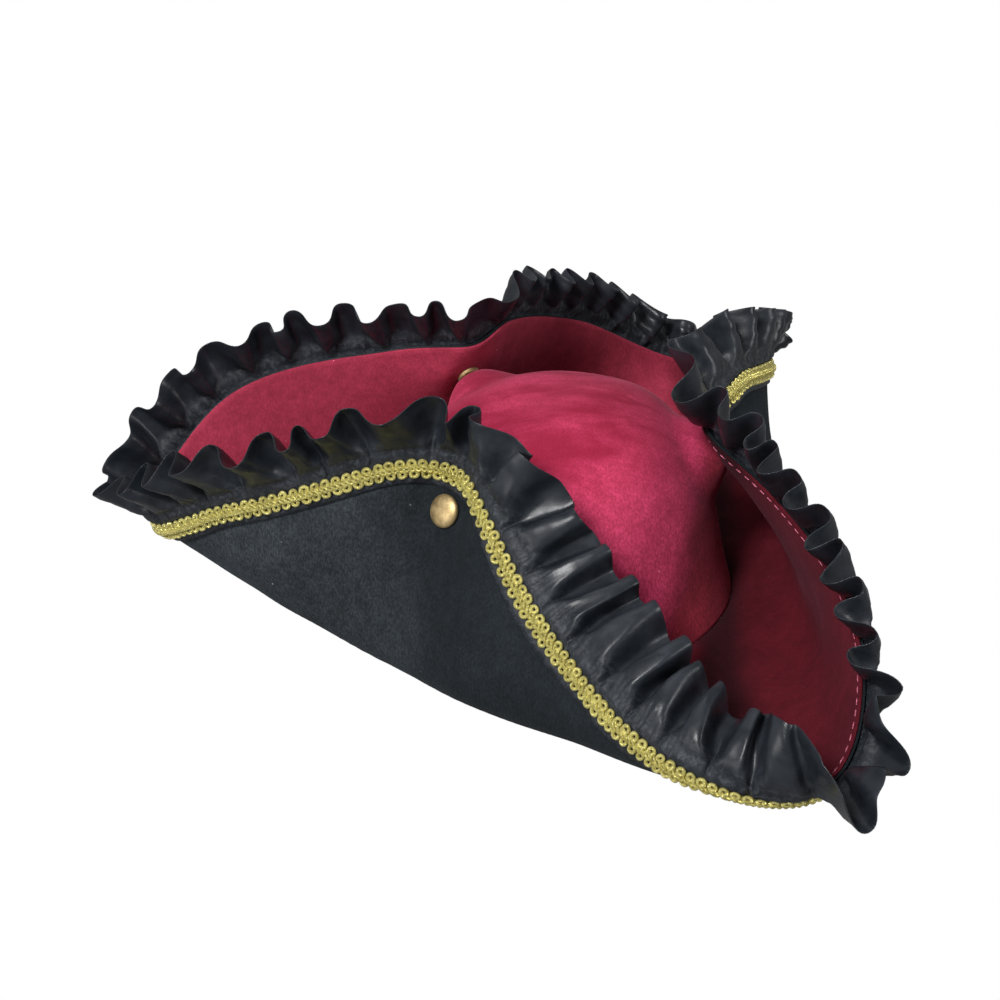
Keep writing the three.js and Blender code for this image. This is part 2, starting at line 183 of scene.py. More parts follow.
# %% Sections of the brim
brim_width = 0.141
ruffle_reach = 0.038
bend_weight = 1.6
# angle, bend out, bend up, edge out, edge up
sections = np.array([
    (0, 0.80, 0.24, 0.90, 0.38),
    (14, 0.61, 0.12, 0.56, 0.62),
    (30, 0.41, 0.02, 0.06, 0.82),
    (48, 0.34, 0.00, -0.12, 0.82),
    (70, 0.50, 0.05, 0.02, 0.77),
    (92, 0.72, 0.10, 0.38, 0.47),
    (108, 1.02, 0.18, 0.97, 0.30),
    (120, 1.03, 0.11, 1.17, 0.28),
    (132, 0.78, 0.04, 0.90, 0.49),
    (150, 0.60, 0.00, 0.25, 0.66),
    (165, 0.44, 0.00, -0.10, 0.74),
    (180, 0.35, 0.00, -0.16, 0.80),
    (195, 0.36, 0.00, -0.07, 0.81),
    (210, 0.42, 0.00, 0.12, 0.76),
    (228, 0.50, 0.04, 0.55, 0.54),
    (240, 0.58, 0.03, 0.80, 0.29),
    (252, 0.72, 0.08, 0.77, 0.29),
    (268, 0.64, 0.08, 0.47, 0.60),
    (290, 0.36, 0.07, -0.01, 0.87),
    (312, 0.32, 0.05, -0.12, 0.86),
    (330, 0.40, 0.06, 0.12, 0.84),
    (346, 0.60, 0.13, 0.65, 0.70),
])
# angle, ruffle's flop outwards, ruffle's reach
leans = np.array([
    (0, 0.20, 0.85),
    (14, 0.60, 0.95),
    (30, 0.75, 1.00),
    (48, 0.60, 0.80),
    (70, 0.05, 0.90),
    (92, -0.60, 1.15),
    (100, -0.90, 1.15),
    (108, -1.50, 1.00),
    (115, -1.50, 1.00),
    (119, 0.50, 1.00),
    (124, 0.35, 0.80),
    (132, -0.45, 0.66),
    (150, -0.10, 0.94),
    (165, 0.15, 1.12),
    (180, 0.20, 1.08),
    (195, -0.30, 0.84),
    (210, -0.10, 0.82),
    (228, 0.10, 0.68),
    (240, 0.55, 0.66),
    (252, 0.40, 0.62),
    (268, 0.00, 0.72),
    (290, 0.00, 0.72),
    (312, -0.10, 0.84),
    (330, -0.20, 0.80),
    (346, -0.10, 0.82),
])


def through(value, slope, i, t, step):
    """A smooth curve from value i to the next, with the given slope at each."""
    between = (2 * t ** 3 - 3 * t ** 2 + 1) * value[i] + (3 * t ** 2 - 2 * t ** 3) * value[i + 1]
    leaving = (t ** 3 - 2 * t ** 2 + t) * step * slope[i]
    return between + leaving + (t ** 3 - t ** 2) * step * slope[i + 1]


def share(column, turn, table=sections):
    """A closed curve through one column of a table, at angles in radians."""
    at = np.concatenate([table[-2:, 0] - 360, table[:, 0], table[:2, 0] + 360])
    value = np.concatenate([table[-2:, column], table[:, column], table[:2, column]])
    slope = (value[2:] - value[:-2]) / (at[2:] - at[:-2])
    at, value = at[1:-1], value[1:-1]
    angle = np.degrees(turn) % 360
    i = np.searchsorted(at, angle, side="right") - 1
    step = at[i + 1] - at[i]
    return through(value, slope, i, (angle - at[i]) / step, step)


print("share of the brim's width at the front corner:", round(float(share(3, np.zeros(1))[0]), 2))

# %% Lines from the crown to the brim's edge
brim_layer = 0.0013
rest_height = brim_layer + clearance / 2
seam_gap = 0.00002
back_tuck = 0.006
line_points = 61


def smooth(value, low, high):
    t = np.clip((value - low) / (high - low), 0, 1)
    return t * t * (3 - 2 * t)


def polar(turn, radius, height):
    return np.stack([-radius * np.cos(turn), -radius * np.sin(turn), height + 0 * radius], axis=-1)


def head_oval(turn, margin):
    along_x = np.cos(turn) / (head_length / 2 + margin)
    return 1 / np.hypot(along_x, np.sin(turn) / (head_width / 2 + margin))


def tucked(points):
    """The back of the head opening, moved in. The crown leans in there in the photograph."""
    moved = np.array(points)
    moved[..., 0] -= back_tuck * smooth(moved[..., 0], 0.005, 0.085)
    return moved


def brim_lines(turn):
    """The crown's foot and a line of points out to the edge, at each angle."""
    foot = head_oval(turn, crown_wall + clearance)
    radii = [foot + rest_band, foot + share(1, turn) * brim_width, foot + share(3, turn) * brim_width]
    heights = [0 * foot, share(2, turn) * brim_width, share(4, turn) * brim_width]
    t = np.linspace(0, 1, line_points)[None, :]
    weights = [(1 - t) ** 2, 2 * bend_weight * t * (1 - t), t ** 2]
    total = sum(weights)
    out = sum(w * r[:, None] for w, r in zip(weights, radii)) / total
    up = sum(w * h[:, None] for w, h in zip(weights, heights)) / total
    sewn = head_oval(turn, crown_wall + seam_gap)
    return tucked(polar(turn, sewn, rest_height)), polar(turn[:, None], out, rest_height + up)


def lengths_of(lines):
    steps = np.linalg.norm(np.diff(lines, axis=1), axis=2)
    return np.concatenate([np.zeros((len(lines), 1)), np.cumsum(steps, axis=1)], axis=1)


def along(lines, distance):
    """Points at given distances along each line. Both have one row for each line."""
    travelled = lengths_of(lines)
    return np.array([
        [np.interp(d, gone, line[:, k]) for k in range(3)]
        for line, gone, d in zip(lines, travelled, distance)
    ]).transpose(0, 2, 1)


fine_turn = np.linspace(0, 2 * math.pi, 2881)
fine_edge = brim_lines(fine_turn)[1][:, -1]
edge_travel = np.concatenate([[0], np.cumsum(np.linalg.norm(np.diff(fine_edge, axis=0), axis=1))])
edge_length = edge_travel[-1]
print("the brim's edge is", round(edge_length, 3), "m round")

# %% [markdown]
# ## Where the snaps are
# Each snap pins the turned-up brim to the crown. The cloth lies flat round it,
# as it does between two plates, so both layers are pressed to a plane there.

# %% Snap seats
snap_turns = {"near": 50, "back": 181, "far": 309}
snap_inset = 0.026
brim_press = (0.012, 0.026)
crown_press = (0.009, 0.046)
crown_drawn = (0.007, 0.028)
seat_reach = 0.008
seat_turn = 0.12


def unit(vectors):
    return vectors / np.linalg.norm(vectors, axis=-1, keepdims=True)


def snap_seat(degrees):
    def place(sideways, inset):
        lines = brim_lines(np.array([math.radians(degrees) + sideways]))[1]
        return along(lines, lengths_of(lines)[:, -1:] - inset)[0, 0]
    across = place(seat_turn, snap_inset) - place(-seat_turn, snap_inset)
    out = place(0, snap_inset - seat_reach) - place(0, snap_inset + seat_reach)
    return place(0, snap_inset), unit(np.cross(across, out))


seats = {name: snap_seat(turn) for name, turn in snap_turns.items()}


def press_at_snaps(points, depth, press, drawn=None):
    """Moves points to a plane behind each snap's middle, less so further out.

    Points that already lie behind the plane are drawn up to it, over another circle if one is given."""
    for centre, normal in seats.values():
        offset = points - (centre + normal * depth)
        height = offset @ normal
        sideways = np.sqrt(np.maximum(0, (offset ** 2).sum(-1) - height ** 2))
        pushed = 1 - smooth(sideways, *press)
        pulled = 1 - smooth(sideways, *(drawn or press))
        near = np.where(height > 0, pushed, pulled) * (np.abs(height) < press[1])
        points = points - normal * (height * near)[..., None]
    return points


print("snap seats:", {name: seat[0].round(3).tolist() for name, seat in seats.items()})

# %% [markdown]
# ## A grid for the brim
# Both layers and everything sewn to them follow one middle surface. It is a
# grid of points, with its columns spaced evenly along the edge and the foot
# together. A few slow waves, under a millimetre high, take away the look of
# pressed metal. Two layers that share one surface can't cut into each other.

# %% Brim grid
def even_turns(count):
    both = edge_travel + head_length / 2 * fine_turn
    return np.interp(np.arange(count) / count * both[-1], both, fine_turn)


def slow_waves(points):
    x, y, z = (points / 0.001).transpose(2, 0, 1)
    first = np.sin(x / 17 + 1.3 * np.sin(y / 23)) * np.sin(z / 13 + y / 31 + 0.7)
    second = np.sin(y / 11 + z / 9 + 2.1) * np.sin(x / 13 - z / 17)
    return 0.00045 * first + 0.00025 * second


def grid_normals(rows):
    """Normals of rows that close round the hat, towards the brim's black side."""
    around = np.roll(rows, -1, axis=1) - np.roll(rows, 1, axis=1)
    across = np.concatenate([rows[1:2] - rows[:1], rows[2:] - rows[:-2], rows[-1:] - rows[-2:-1]])
    return unit(np.cross(around, across))


brim_columns = 480
brim_rows = 40
brim_turn = even_turns(brim_columns)
brim_foot, brim_line = brim_lines(brim_turn)
brim_reach = lengths_of(brim_line)[:, -1:]
brim_grid = along(brim_line, brim_reach * np.linspace(0, 1, brim_rows)).transpose(1, 0, 2)
brim_grid = press_at_snaps(brim_grid, 0, brim_press)
free = smooth(np.linspace(0, 1, brim_rows), 0.1, 0.35) * smooth(np.linspace(1, 0, brim_rows), 0.0, 0.2)
brim_grid = brim_grid + grid_normals(brim_grid) * (slow_waves(brim_grid) * free[:, None])[..., None]
brim_grid = np.concatenate([brim_foot[None], brim_grid])
brim_normals = grid_normals(brim_grid)
brim_normals[:2] = (0, 0, -1)
print("brim grid", brim_grid.shape[:2], "highest point", round(float(brim_grid[..., 2].max()), 4))

# %% [markdown]
# ## Cloth from rows of points
# A layer of cloth is two copies of the grid, a thickness apart, joined along
# their ends. One small helper makes that closed mesh, with a rounded fold at
# the outer end and a map that runs round the hat and across the cloth.

# %% Cloth helper
def closed_grid(rows, columns):
    """Numbers of a grid that closes both ways: its rows, columns, next rows and faces."""
    j, i = np.meshgrid(np.arange(rows), np.arange(columns), indexing="ij")
    after, above = (i + 1) % columns, (j + 1) % rows
    corners = [j * columns + i, j * columns + after, above * columns + after, above * columns + i]
    return j, i, above, np.stack(corners, -1).reshape(-1, 4)


def smooth_piece(name, points, faces, map_name="", flat_map=None):
    """A smooth mesh of its own, with a flat map where one is given."""
    mesh = bpy.data.meshes.new(name)
    mesh.from_pydata((points.reshape(-1, 3) + axis).tolist(), [], faces)
    if map_name:
        layer = mesh.uv_layers.new(name=map_name)
        layer.data.foreach_set("uv", flat_map.reshape(-1).astype(np.float32))
    mesh.shade_smooth()
    return add_object(name, mesh)


def closed_cloth(name, rows, normals, outer, inner, fold):
    """A sheet between two depths off the rows. The outer end is rounded by fold."""
    middle = (outer + inner) / 2
    half = (outer - inner) / 2
    out = unit(rows[-1] - rows[-2])
    layers = list(rows + normals * outer)
    for height, reach in ((0.7, 0.7), (0, 1), (-0.7, 0.7)):
        layers.append(rows[-1] + normals[-1] * (middle + half * height) + out * fold * reach)
    layers += list(rows[::-1] + normals[::-1] * inner)
    count, width = len(layers), len(rows[0])
    gaps = [float(np.linalg.norm(b - a, axis=1).mean()) for a, b in zip(layers, layers[1:])]
    across = np.cumsum([0] + gaps)
    j, i, above, faces = closed_grid(count, width)
    u = np.stack([i, i + 1, i + 1, i], -1) / width
    v = np.stack([across[j], across[j], across[above], across[above]], -1)
    print(name, "has", len(faces) * 2, "triangles, and is", round(across[-1], 4), "m round its section")
    return smooth_piece(name, np.concatenate(layers), faces.tolist(), "cloth", np.stack([u, v], -1))


print("a closed grid of 3 by 4 points has", len(closed_grid(3, 4)[3]), "faces")


# %% [markdown]
# ## Pile
# Velvet is a short, dense pile. It looks dark from above and pale at a slant,
# which is what the Principled shader's sheen does. Brushed and crushed places
# stand out as paler clouds. The crown, the facing and the black layer share
# one group, which mixes two colours by those clouds, adds a grain as strong as
# its Grain input says and scatters a little lint.

# %% Tools for wiring nodes
def new_group(name, inputs, outputs):
    group = bpy.data.node_groups.new(name, "ShaderNodeTree")
    for label, kind, value in inputs:
        socket = group.interface.new_socket(label, in_out="INPUT", socket_type=kind)
        socket.default_value = value
    for label, kind in outputs:
        group.interface.new_socket(label, in_out="OUTPUT", socket_type=kind)
    return group, group.nodes.new("NodeGroupInput"), group.nodes.new("NodeGroupOutput")


class Wiring:
    """Adds nodes to one tree and joins them."""

    def __init__(self, tree):
        self.tree = tree

    def fill(self, node, inputs):
        """Links each socket that is given, and sets each plain value."""
        for key, value in inputs.items():
            if isinstance(value, bpy.types.NodeSocket):
                self.tree.links.new(value, node.inputs[key])
            else:
                node.inputs[key].default_value = value

    def shade(self, inputs):
        self.fill(self.tree.nodes["Principled BSDF"], inputs)

    def node(self, kind, inputs=None, **settings):
        made = self.tree.nodes.new(kind)
        for key, value in settings.items():
            setattr(made, key, value)
        self.fill(made, inputs or {})
        return made

    def place(self):
        return self.node("ShaderNodeTexCoord").outputs["Object"]

    def bump(self, height, strength, distance):
        inputs = {"Height": height, "Strength": strength, "Distance": distance}
        return self.node("ShaderNodeBump", inputs).outputs["Normal"]

    def stretch(self, vector, scale, turn=0.0):
        inputs = {"Vector": vector, "Scale": scale, "Rotation": (0, 0, turn)}
        return self.node("ShaderNodeMapping", inputs).outputs["Vector"]

    def noise(self, vector, scale, detail=4.0, roughness=0.55, distortion=0.0):
        inputs = {"Vector": vector, "Scale": scale, "Detail": detail, "Roughness": roughness}
        return self.node("ShaderNodeTexNoise", inputs | {"Distortion": distortion}).outputs["Fac"]

    def ramp(self, value, low, high):
        made = self.node("ShaderNodeMapRange", {"Value": value, "From Min": low, "From Max": high})
        made.interpolation_type = "SMOOTHSTEP"
        return made.outputs["Result"]

    def maths(self, how, a, b):
        return self.node("ShaderNodeMath", {0: a, 1: b}, operation=how).outputs["Value"]

    def times(self, a, b):
        return self.maths("MULTIPLY", a, b)

    def plus(self, a, b):
        return self.maths("ADD", a, b)

    def mix(self, factor, a, b):
        return self.node("ShaderNodeMix", {0: factor, 6: a, 7: b}, data_type="RGBA").outputs[2]


print("ways to add nodes:", [name for name in vars(Wiring) if not name.startswith("_")])

# %% Group for the pile
pile_group, pile_in, pile_out = new_group(
    "velvet_pile",
    [("Place", "NodeSocketVector", (0, 0, 0)), ("Deep", "NodeSocketColor", (0, 0, 0, 1)),
     ("Brushed", "NodeSocketColor", (1, 1, 1, 1)), ("Lint", "NodeSocketColor", (1, 1, 1, 1)),
     ("Lint Amount", "NodeSocketFloat", 0.1), ("Cloud Scale", "NodeSocketFloat", 18.0),
     ("Grain", "NodeSocketFloat", 1.0)],
    [("Color", "NodeSocketColor"), ("Roughness", "NodeSocketFloat"), ("Height", "NodeSocketFloat"),
     ("Amount", "NodeSocketFloat")],
)
wire = Wiring(pile_group)
place = pile_in.outputs["Place"]
clouds = wire.noise(place, pile_in.outputs["Cloud Scale"], 5.0, 0.62, 0.6)
crush = wire.noise(place, 160.0, 3.0, 0.6, 0.2)
grain = wire.noise(wire.stretch(place, (1.0, 1.0, 0.45)), 1000.0, 3.0, 0.75)
brushed = wire.ramp(clouds, 0.36, 0.70)
speckle = wire.ramp(grain, 0.36, 0.66)
patchy = wire.times(wire.ramp(crush, 0.30, 0.75), 0.45)
amount = wire.plus(wire.times(brushed, 0.62), patchy)
amount = wire.plus(wire.times(amount, 0.45), 0.28)
speckled = wire.times(wire.maths("SUBTRACT", speckle, 0.5), pile_in.outputs["Grain"])
amount = wire.times(amount, wire.plus(speckled, 0.95))
lint = wire.node("ShaderNodeTexVoronoi", {"Vector": place, "Scale": 260.0, "Randomness": 1.0})
dots = wire.maths("LESS_THAN", lint.outputs["Distance"], 0.13)
chosen = wire.node("ShaderNodeSeparateColor", {"Color": lint.outputs["Color"]}).outputs["Red"]
few = wire.maths("LESS_THAN", chosen, pile_in.outputs["Lint Amount"])
velvet_colour = wire.mix(amount, pile_in.outputs["Deep"], pile_in.outputs["Brushed"])
wire.fill(pile_out, {
    "Color": wire.mix(wire.times(dots, few), velvet_colour, pile_in.outputs["Lint"]),
    "Roughness": wire.maths("SUBTRACT", 0.95, wire.times(brushed, 0.15)),
    "Height": wire.plus(wire.times(grain, 0.6), wire.times(crush, 0.8)),
    "Amount": amount,
})
print("pile group has", len(pile_group.nodes), "nodes")

# %% A velvet finish
# crushed pile and painted shade on the crown's top
crushed_and_shaded_colour = (0.21, 0.007, 0.026, 1)


def crush_and_shade_top(wire, place, height, colour, heights):
    """The top of the crown, darker in streaks: crushed pile, and painted shade on the top, which faces up.
    """
    streaks = wire.noise(wire.stretch(place, (15.0, 48.0, 30.0), 0.2), 1.0, 3.0, 0.6, 0.5)
    raised = wire.plus(height, wire.times(streaks, 0.03))
    flattened = wire.plus(0.38, wire.times(wire.ramp(streaks, 0.35, 0.65), 0.50))
    return wire.mix(wire.times(wire.ramp(raised, *heights), flattened), colour, crushed_and_shaded_colour)


def velvet(name, deep, brushed, lint, cloud_scale, grain, sheen, sheen_tint, shade_bands, crushed_and_shaded_top=None):
    """A velvet in two colours, with bands of painted shade along X: each band mixes in a darker colour of
    its own.
    """
    finish = plain_finish(name, deep, 0.9)
    wire = Wiring(finish.node_tree)
    place = wire.place()
    lint_colour, lint_amount = lint
    pile = wire.node("ShaderNodeGroup", node_tree=pile_group)
    wire.fill(pile, {
        "Place": place, "Deep": (*deep, 1), "Brushed": (*brushed, 1), "Lint": (*lint_colour, 1),
        "Lint Amount": lint_amount, "Cloud Scale": cloud_scale, "Grain": grain})
    colour = pile.outputs["Color"]
    parts = wire.node("ShaderNodeSeparateXYZ", {"Vector": place}).outputs
    uneven = wire.times(wire.noise(place, 30.0), 0.012)
    # painted shade: each band mixes its own darker colour into the velvet
    for slope, start, full, fading, end, turned in shade_bands:
        along_x = wire.maths("SUBTRACT", parts["X"], wire.times(parts["Z"], slope))
        along_x = wire.plus(along_x, uneven)
        inside = wire.maths("SUBTRACT", wire.ramp(along_x, start, full), wire.ramp(along_x, fading, end))
        dark, light = ((*(part * how for part in turned), 1) for how in (0.50, 1.65))
        painted_shade = wire.mix(pile.outputs["Amount"], dark, light)
        colour = wire.mix(wire.times(inside, 0.92), colour, painted_shade)
    # painted shade on the crown's top, in streaks of crushed pile
    if crushed_and_shaded_top:
        colour = crush_and_shade_top(wire, place, parts["Z"], colour, crushed_and_shaded_top)
    wire.shade({"Base Color": colour, "Roughness": pile.outputs["Roughness"], "Specular IOR Level": 0.12,
                "Sheen Weight": sheen, "Sheen Roughness": 0.45, "Sheen Tint": (*sheen_tint, 1),
                "Normal": wire.bump(pile.outputs["Height"], 0.5, 0.0006)})
    return finish


print("crushed pile on the crown's top is", crushed_and_shaded_colour[:3])

# %% The three velvets
middle = axis[0]
past_the_hat = (0.9, 1.0)
pink_sheen = (1.0, 0.35, 0.50)
pink_lint = ((0.80, 0.30, 0.40), 0.02)
grey_lint = ((0.20, 0.22, 0.24), 0.03)
# each band of painted shade: slope, start, full, fading, end, colour
# painted shade on the crown's right side, away from the key lamp; the second band paints it a little
# lighter towards the edge
crown_shade_bands = [
    (0.30, middle + 0.044, middle + 0.064, *past_the_hat, (0.16, 0.014, 0.024)),
    (0.30, middle + 0.056, middle + 0.074, *past_the_hat, (0.36, 0.032, 0.055)),
]
# painted shade on the facing: a slightly darker band across the middle, the back flap on the right darker,
# and a near-black painted shadow beside the crown
facing_shade_bands = [
    (0.0, middle - 0.045, middle - 0.020, middle + 0.030, middle + 0.052, (0.24, 0.025, 0.045)),
    (0.0, middle + 0.058, middle + 0.080, *past_the_hat, (0.060, 0.0036, 0.0072)),
    (0.0, middle + 0.072, middle + 0.084, middle + 0.092, middle + 0.110, (0.020, 0.0035, 0.0055)),
]
# painted shade on the black layer, darker from the middle to the right
black_shade_bands = [(0.0, middle - 0.11, middle - 0.04, *past_the_hat, (0.0065, 0.009, 0.011))]
crown_velvet = velvet("velvet_crown", (0.24, 0.018, 0.042), (0.80, 0.074, 0.195), pink_lint, 16.0, 0.9,
                      0.12, pink_sheen, crown_shade_bands, (0.098, 0.126))
facing_velvet = velvet("velvet_facing", (0.15, 0.012, 0.026), (0.46, 0.046, 0.092), pink_lint, 16.0, 0.5,
                       0.04, pink_sheen, facing_shade_bands)
black_velvet = velvet("velvet_black", (0.0035, 0.0045, 0.0055), (0.047, 0.056, 0.064), grey_lint, 14.0, 0.9,
                      0.03, (0.7, 0.85, 1.0), black_shade_bands)
print("velvets:", crown_velvet.name, facing_velvet.name, black_velvet.name)

# %% [markdown]
# ## Brim layers
# The black layer is the outside once the brim is turned up, and the red layer
# faces the crown. Each is a sheet of its own, cut as a ring and eased to shape.

# %% Make the two brim layers
layer_near = clearance / 2
layer_far = layer_near + brim_layer


def dress(piece, finish, slot, *nodes):
    """Gives a piece its finish and its body, and hides the CAD nodes that it stands for."""
    if not piece.data.materials:
        piece.data.materials.append(finish)
    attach(piece, "root")
    if nodes:
        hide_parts(*nodes)


brim_outside = closed_cloth("brim_black_velvet", brim_grid, brim_normals, layer_far, layer_near, 0.0004)
dress(brim_outside, black_velvet, "black_velvet", "brim_underside")
brim_inside = closed_cloth("brim_red_velvet", brim_grid, brim_normals, -layer_near, -layer_far, 0.0004)
dress(brim_inside, facing_velvet, "red_velvet", "brim_facing")

# %% [markdown]
# ## Crown
# The crown is velvet stretched over a stiff dome. It is drawn up ring by ring
# from an oval, as a potter would raise it, then pressed flat where the snaps
# sit and given a wall. The real one isn't a perfect dome, so its top is lifted
# a little and gets a few soft dents before the wall is made.

# %% Raise the crown
crown_height = 0.116
# height as a share of the crown's, radius as a share of the head oval
crown_profile = np.array([
    (0.00, 1.00), (0.20, 0.95), (0.42, 0.91), (0.60, 0.865),
    (0.74, 0.79), (0.86, 0.66), (0.95, 0.44), (1.00, 0.0),
])


def crown_ring(step):
    """Height and radius shares at a step from 0, at the foot, to 1, at the top."""
    gap = np.linalg.norm(np.diff(crown_profile * (1.2, 1.0), axis=0), axis=1)
    gone = np.concatenate([[0], np.cumsum(gap)]) / gap.sum()
    slope = np.gradient(crown_profile, gone, axis=0)
    slope[-1] = (0, slope[-1][1])
    i = min(int(np.searchsorted(gone, step, side="right")) - 1, len(gone) - 2)
    width = gone[i + 1] - gone[i]
    return through(crown_profile, slope, i, (step - gone[i]) / width, width)


crown_bottom = 2 * clearance
foot_centre = (*axis[:2], crown_bottom)
bpy.ops.mesh.primitive_circle_add(vertices=160, radius=1, fill_type="NOTHING", location=foot_centre)
crown = bpy.context.active_object
crown.name = "crown_red_velvet"
bpy.ops.object.mode_set(mode="EDIT")
bpy.ops.mesh.select_all(action="SELECT")
bpy.ops.transform.resize(value=(head_length / 2 + crown_wall, head_width / 2 + crown_wall, 1))
crown_steps = 44
for ring in range(1, crown_steps):
    up, out = crown_ring(ring / crown_steps)
    up_before, out_before = crown_ring((ring - 1) / crown_steps)
    rise = (up - up_before) * (crown_height - crown_bottom)
    bpy.ops.mesh.extrude_region_move(TRANSFORM_OT_translate={"value": (0, 0, rise)})
    bpy.ops.transform.resize(value=(out / out_before, out / out_before, 1))
bpy.ops.mesh.extrude_region_move(TRANSFORM_OT_translate={"value": (0, 0, 0.0002)})
bpy.ops.mesh.merge(type="CENTER")
bpy.ops.mesh.select_all(action="SELECT")
bpy.ops.mesh.normals_make_consistent(inside=False)
bpy.ops.object.mode_set(mode="OBJECT")
bpy.ops.object.transform_apply(location=True, rotation=True, scale=True)
print("crown is", [round(v, 4) for v in crown.dimensions], "m")

# %% Press and wall the crown
snap_socket = 0.0022
stud_flange = 0.001
crown_depth = -(layer_far + 2 * clearance + snap_socket + stud_flange)
top_lift = 0.0055


def select_only(piece):
    bpy.ops.object.select_all(action="DESELECT")
    piece.select_set(True)
    bpy.context.view_layer.objects.active = piece


def points_of(piece):
    found = np.empty(len(piece.data.vertices) * 3)
    piece.data.vertices.foreach_get("co", found)
    return found.reshape(-1, 3)


shape = points_of(crown) - axis
x, y, z = shape.T / 0.001
dents = 0.9 * np.sin(x / 21 + 0.9) * np.sin(y / 17 + 2.2) + 0.5 * np.sin(x / 11 - y / 13) * np.sin(z / 15)
shape[:, 2] += 0.001 * dents * smooth(z, 50, 105)
shape = tucked(shape)
shape[:, 2] += top_lift * smooth(z, 70, 112)
pressed = press_at_snaps(shape, crown_depth - 2 * clearance, crown_press, crown_drawn)
shape = shape + (pressed - shape) * smooth(z, 8, 45)[:, None]
crown.data.vertices.foreach_set("co", (shape + axis).reshape(-1))
crown.data.update()
select_only(crown)
wall = crown.modifiers.new("wall", "SOLIDIFY")
wall.thickness = crown_wall
wall.offset = -1
bpy.ops.object.modifier_apply(modifier="wall")
crown.data.shade_smooth()
dress(crown, crown_velvet, "red_velvet", "crown")
print("crown has", sum(len(p.vertices) - 2 for p in crown.data.polygons), "triangles")

# %% [markdown]
# ## Ruffle
# The ruffle is a strip of black satin. Its header is sewn flat to the brim and
# gathered by a seam a little past the edge, where each fold is pinched to a
# small dark notch. Past the seam the folds open into broad rounded ridges and
# deep valleys. A cloth simulation would take long and could land anywhere, so
# the folds are drawn: every fold has its own width, depth, lean and length.

# %% Ruffle folds
header_depth = 0.015
seam = 0.006
ruffle_cloth = 0.0012
ruffle_folds = 60
fold_steps = 30
chance = np.random.default_rng(11)


def spread(low, high):
    return chance.uniform(low, high, ruffle_folds)


pinch = np.arange(ruffle_folds) + spread(-0.20, 0.20)
crest_depth = spread(0.72, 1.25)
pinch_depth = spread(0.75, 1.20)
crest_reach = spread(0.96, 1.06)
pinch_reach = spread(0.90, 1.01)
crest_lean = spread(-0.22, 0.22)
pinch_lean = spread(-0.12, 0.12)
fold_loop = spread(0.02, 0.14)
crest_width = spread(0.90, 1.20)


def after(values):
    return np.roll(values, -1)


def every_column(values):
    return np.repeat(values, fold_steps)


fold_part = np.tile(np.arange(fold_steps) / fold_steps, ruffle_folds)
widths = (after(pinch) - pinch) % ruffle_folds
fold_at = (every_column(pinch) + every_column(widths) * fold_part) % ruffle_folds
ruffle_at = fold_at / ruffle_folds * edge_length
ruffle_turn = np.interp(ruffle_at, edge_travel, fine_turn)
pitch = every_column(widths) * edge_length / ruffle_folds
print("folds are", (1000 * pitch.min()).round(1), "to", (1000 * pitch.max()).round(1), "mm wide")

# %% Strip frame along the edge
header_middle = layer_far + clearance + ruffle_cloth / 2
evened = 0.010


def blur(values, distance):
    """Evens values out along the edge, over a distance to each side."""
    reach = max(1, int(distance / (edge_length / len(values))))
    window = np.hanning(2 * reach + 3)[1:-1]
    padded = np.concatenate([values[-reach:], values, values[:reach]])
    return np.stack([np.convolve(padded[:, k], window / window.sum(), "valid") for k in range(3)], 1)


ruffle_lines = brim_lines(ruffle_turn)[1]
ruffle_length = lengths_of(ruffle_lines)[:, -1:]
near_edge = along(ruffle_lines, ruffle_length - np.array([[0.004, 0.002, 0.0]]))
strip_edge = press_at_snaps(near_edge[:, 2], 0, brim_press)
strip_along = unit(blur(np.roll(strip_edge, -1, 0) - np.roll(strip_edge, 1, 0), evened))
across_edge = near_edge[:, 2] - near_edge[:, 0]
strip_normal = unit(blur(unit(np.cross(strip_along, across_edge)), evened))
strip_out = unit(np.cross(strip_normal, strip_along))
strip_column = unit(across_edge)
slant = np.maximum(np.linalg.norm(np.cross(strip_column, strip_along), axis=1), 0.5)
print("strip frame has", len(strip_edge), "columns")

# %% Shape of a fold
def fold_mix(crest, low, ridge):
    """A value that is one fold's own at its crest and shared at its pinches."""
    valley = np.where(fold_part < 0.5, every_column(low), every_column(after(low)))
    return every_column(crest) * ridge + valley * (1 - ridge)


across_fold = 2 * fold_part - 1
ridge = (1 + np.cos(math.pi * across_fold)) / 2
fine_puckers = (np.sin(ruffle_at / 0.00062 + 2.0 * np.sin(ruffle_at / 0.0031))
                + 0.7 * np.sin(ruffle_at / 0.00097 + 1.1))
header_width = 7.0
open_width = 1.6
fold_depth = 0.0085
deeper = 1 + 0.35 * smooth(ruffle_turn, 0.02, 0.2) * (1 - smooth(ruffle_turn, 0.75, 0.95))
shallow = 1 - 0.25 * smooth(ruffle_turn, 4.3, 4.7)
near_side = smooth(ruffle_turn, 0.9, 1.2) * (1 - smooth(ruffle_turn, 2.1, 2.4))
narrow = 0.30 * near_side
far_side = smooth(ruffle_turn, 3.2, 3.5) * (1 - smooth(ruffle_turn, 4.9, 5.2))
boxy = 0.3 + 1.4 * near_side


def fold_shape(width):
    """A fold's height from -1 to 1. A small width gives a narrow ridge, a large one a pillow."""
    x = np.abs(across_fold) ** width
    return np.tanh(boxy * np.cos(math.pi * x)) / np.tanh(boxy)


print("folds are about", round(fold_depth * 1000, 1), "mm deep to each side")

